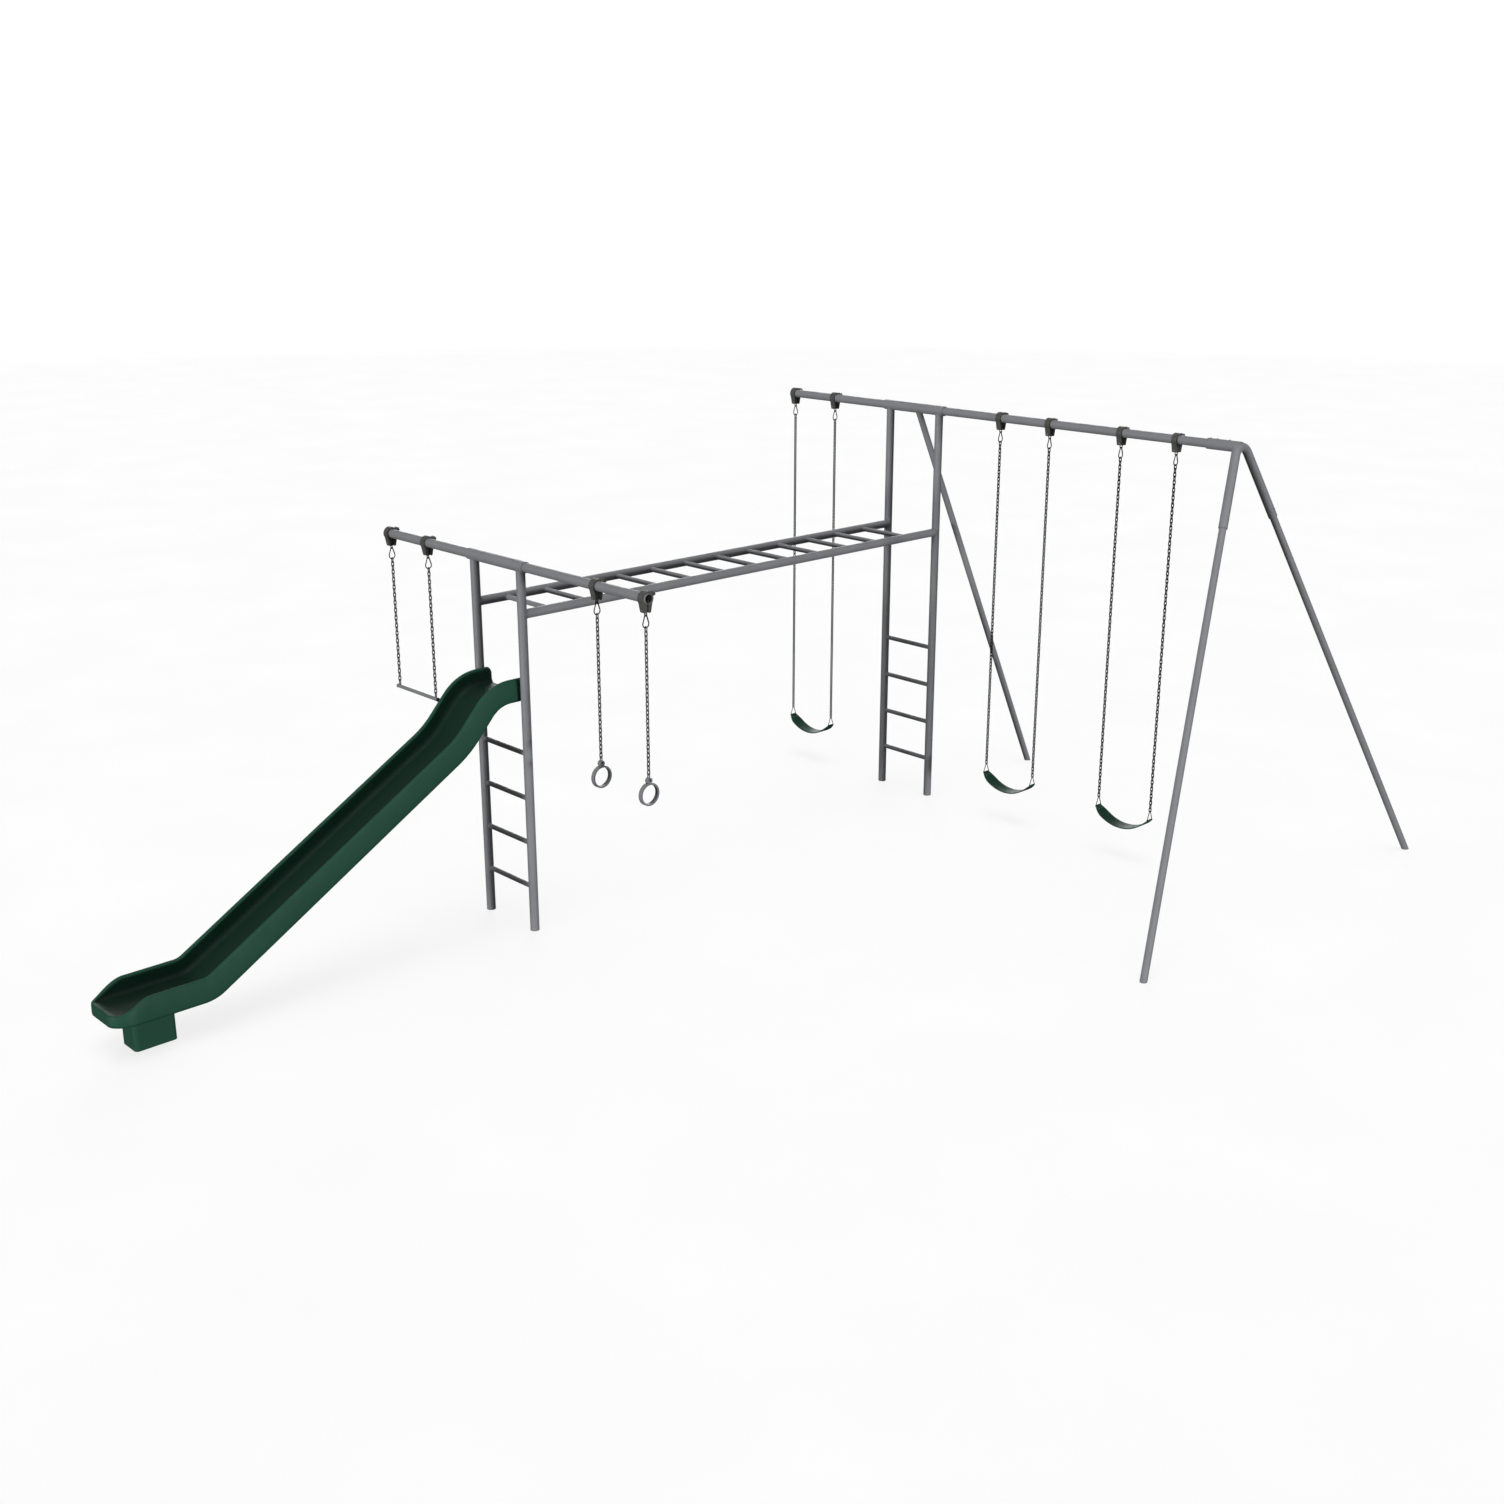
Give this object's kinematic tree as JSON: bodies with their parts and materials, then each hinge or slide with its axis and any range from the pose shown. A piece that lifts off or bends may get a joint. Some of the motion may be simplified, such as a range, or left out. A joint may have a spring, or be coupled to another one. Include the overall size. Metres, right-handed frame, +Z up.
{
  "type": "swing set",
  "caption": "Steel pipe swing set with two ladders joined by monkey bars, an A-frame, belt swings, a trapeze bar, gym rings and a moulded slide.",
  "frame": {"origin": "on the ground, under the middle of the whole set's bounding box", "axes": "+X along both beams towards the A-frame, +Y along the monkey bars from the slide's ladder to the swings' ladder, +Z up"},
  "size_m": [4.8221, 8.4605, 3.1069],
  "materials": {
    "tube_paint": "satin grey coated steel",
    "ring_paint": "satin grey coated metal",
    "cast_clamps": "rough dull grey casting",
    "zinc_bolts": "dull zinc plate",
    "zinc_chain": "dull galvanised",
    "black_steel": "satin black coated steel",
    "black_plastic": "matt",
    "green_plastic": "satin rotomoulded polyethylene",
    "green_belt": "satin moulded rubber"
  },
  "bodies": {
    "frame": {"front_left_post": "tube_paint", "front_right_post": "tube_paint", "rear_left_post": "tube_paint", "rear_right_post": "tube_paint", "front_ladder_rungs": "tube_paint", "rear_ladder_rungs": "tube_paint", "front_sleeve": "tube_paint", "rear_sleeve": "tube_paint", "front_beam": "tube_paint", "rear_beam": "tube_paint", "left_rail": "tube_paint", "right_rail": "tube_paint", "monkey_bars": "tube_paint", "brace": "tube_paint", "a_frame_crown": "tube_paint", "beam_socket": "tube_paint", "near_leg": "tube_paint", "far_leg": "tube_paint", "frame_bolts": "zinc_bolts", "foot_plugs": "black_plastic", "slide_shell": "green_plastic", "slide_foot": "green_plastic", "slide_bolts": "zinc_bolts", "clamp_front_jaws": "cast_clamps", "clamp_rear_jaws": "cast_clamps", "clamp_bolts": "zinc_bolts", "hanger_eyes": "black_steel"},
    "swing_1": {"swing_1_hooks": "black_steel", "swing_1_chains": "black_steel"},
    "seat_1": {"swing_1_triangles": "black_steel", "swing_1_belt": "green_belt"},
    "swing_2": {"swing_2_hooks": "black_steel", "swing_2_chains": "black_steel"},
    "seat_2": {"swing_2_triangles": "black_steel", "swing_2_belt": "green_belt"},
    "swing_3": {"swing_3_hooks": "black_steel", "swing_3_chains": "black_steel"},
    "seat_3": {"swing_3_triangles": "black_steel", "swing_3_belt": "green_belt"},
    "trapeze": {"trapeze_hooks": "black_steel", "trapeze_chains": "zinc_chain", "trapeze_bar": "tube_paint", "trapeze_caps": "black_plastic"},
    "ring_1_sway_link": {"ring_1_eye": "black_steel"},
    "ring_1_line": {"ring_1_hook": "black_steel", "ring_1_chain": "zinc_chain"},
    "ring_1_grip": {"gym_ring_1": "ring_paint"},
    "ring_2_sway_link": {"ring_2_eye": "black_steel"},
    "ring_2_line": {"ring_2_hook": "black_steel", "ring_2_chain": "zinc_chain"},
    "ring_2_grip": {"gym_ring_2": "ring_paint"}
  },
  "joints": [
    {"name": "swing_1_swing", "type": "hinge", "parent": "frame", "child": "swing_1", "pos_m": [-2.16108, 2.53858, 2.95735], "axis": [1, 0, 0], "range_deg": [-60, 60]},
    {"name": "seat_1_tilt", "type": "hinge", "parent": "swing_1", "child": "seat_1", "pos_m": [-2.16108, 2.53858, 0.405], "axis": [1, 0, 0], "range_deg": [-35, 35]},
    {"name": "swing_2_swing", "type": "hinge", "parent": "frame", "child": "swing_2", "pos_m": [-0.03108, 2.53858, 2.95735], "axis": [1, 0, 0], "range_deg": [-60, 60]},
    {"name": "seat_2_tilt", "type": "hinge", "parent": "swing_2", "child": "seat_2", "pos_m": [-0.03108, 2.53858, 0.405], "axis": [1, 0, 0], "range_deg": [-35, 35]},
    {"name": "swing_3_swing", "type": "hinge", "parent": "frame", "child": "swing_3", "pos_m": [1.02992, 2.53858, 2.95735], "axis": [1, 0, 0], "range_deg": [-60, 60]},
    {"name": "seat_3_tilt", "type": "hinge", "parent": "swing_3", "child": "seat_3", "pos_m": [1.02992, 2.53858, 0.405], "axis": [1, 0, 0], "range_deg": [-35, 35]},
    {"name": "trapeze_swing", "type": "hinge", "parent": "frame", "child": "trapeze", "pos_m": [-2.09608, -1.38142, 2.34135], "axis": [1, 0, 0], "range_deg": [-50, 50]},
    {"name": "ring_1_sway", "type": "hinge", "parent": "frame", "child": "ring_1_sway_link", "pos_m": [-0.09608, -1.38142, 2.37805], "axis": [0, 1, 0], "range_deg": [-6, 6]},
    {"name": "ring_1_swing", "type": "hinge", "parent": "ring_1_sway_link", "child": "ring_1_line", "pos_m": [-0.09608, -1.38142, 2.34135], "axis": [1, 0, 0], "range_deg": [-50, 50]},
    {"name": "ring_1_twist", "type": "hinge", "parent": "ring_1_line", "child": "ring_1_grip", "pos_m": [-0.09608, -1.38142, 1.361], "axis": [0, 0, 1], "range_deg": [-90, 90]},
    {"name": "ring_2_sway", "type": "hinge", "parent": "frame", "child": "ring_2_sway_link", "pos_m": [0.35192, -1.38142, 2.37805], "axis": [0, 1, 0], "range_deg": [-6, 6]},
    {"name": "ring_2_swing", "type": "hinge", "parent": "ring_2_sway_link", "child": "ring_2_line", "pos_m": [0.35192, -1.38142, 2.34135], "axis": [1, 0, 0], "range_deg": [-50, 50]},
    {"name": "ring_2_twist", "type": "hinge", "parent": "ring_2_line", "child": "ring_2_grip", "pos_m": [0.35192, -1.38142, 1.361], "axis": [0, 0, 1], "range_deg": [-90, 90]}
  ]
}
